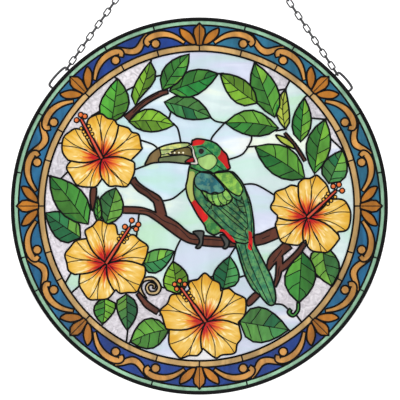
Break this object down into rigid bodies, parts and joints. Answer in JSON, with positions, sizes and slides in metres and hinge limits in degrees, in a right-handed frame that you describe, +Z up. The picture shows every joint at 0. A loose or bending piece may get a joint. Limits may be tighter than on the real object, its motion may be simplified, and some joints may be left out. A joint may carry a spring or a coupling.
{
  "type": "round hanging stained glass panel",
  "caption": "Round leaded glass panel with a long-billed bird, hibiscus flowers and leaves in a blue scroll border, hung by two chains from a ring",
  "frame": {"origin": "bearing point of the hanging ring, at the top of its inside", "axes": "+Z up, the panel lies in the XZ plane and its front faces -Y, +X is the picture's right"},
  "size_m": [0.3, 0.006, 0.4231],
  "materials": {
    "lead_came": "dark grey patina on soft lead lines",
    "dark_wire": "black wire",
    "yellow_glass": "streaky yellow and amber glass with red hearts",
    "green_glass": "streaky leaf-green glass",
    "red_glass": "red glass",
    "bird_glass": "mottled green and blue-green glass",
    "brown_glass": "dark brown glass",
    "amber_glass": "amber glass",
    "blue_glass": "streaky royal blue glass",
    "pale_green_glass": "pale green glass",
    "clear_glass": "pale textured glass"
  },
  "bodies": {
    "root": {"bail_left": "dark_wire", "bail_right": "dark_wire", "bird_beak": "bird_glass", "bird_breast": "red_glass", "bird_head": "bird_glass", "bird_tail": "bird_glass", "bird_wing": "bird_glass", "border_pane_0_to_45_degrees": "blue_glass", "border_pane_135_to_180_degrees": "blue_glass", "border_pane_180_to_225_degrees": "blue_glass", "border_pane_225_to_270_degrees": "blue_glass", "border_pane_270_to_315_degrees": "blue_glass", "border_pane_315_to_360_degrees": "blue_glass", "border_pane_45_to_90_degrees": "blue_glass", "border_pane_90_to_135_degrees": "blue_glass", "branch_by_tail": "brown_glass", "branch_lower_right": "brown_glass", "branch_main": "brown_glass", "branch_upper_left": "brown_glass", "chain_left": "dark_wire", "chain_right": "dark_wire", "clear_pane_outer_12_oclock": "clear_glass", "clear_pane_outer_6_oclock": "clear_glass", "flower_bottom": "yellow_glass", "flower_lower_left": "yellow_glass", "flower_right": "yellow_glass", "flower_upper_left": "yellow_glass", "frame_rim": "lead_came", "gold_ring": "amber_glass", "green_ring": "pale_green_glass", "hang_ring": "dark_wire", "lead_lines_border": "lead_came", "lead_lines_picture": "lead_came", "leaf_above_beak": "green_glass", "leaf_above_low_flower": "green_glass", "leaf_bottom_left": "green_glass", "leaf_bottom_right": "green_glass", "leaf_group_top": "green_glass", "leaf_left_of_tail": "green_glass", "leaf_pair_left": "green_glass", "leaf_pair_low_left": "green_glass", "leaf_pair_low_right": "green_glass", "leaf_pair_right": "green_glass", "leaf_pair_top_right": "green_glass", "leaf_pair_under_flower": "green_glass", "leaf_right_of_crown": "green_glass", "leaf_right_of_wing": "green_glass", "leaf_top_left": "green_glass", "leaf_under_branch": "green_glass", "leaf_upper_left": "green_glass", "leaf_upper_right": "green_glass", "leaf_upper_right_yellow": "yellow_glass", "palmette_0_degrees": "amber_glass", "palmette_135_degrees": "amber_glass", "palmette_180_degrees": "amber_glass", "palmette_225_degrees": "amber_glass", "palmette_270_degrees": "amber_glass", "palmette_315_degrees": "amber_glass", "palmette_45_degrees": "amber_glass", "palmette_90_degrees": "amber_glass"}
  },
  "joints": []
}
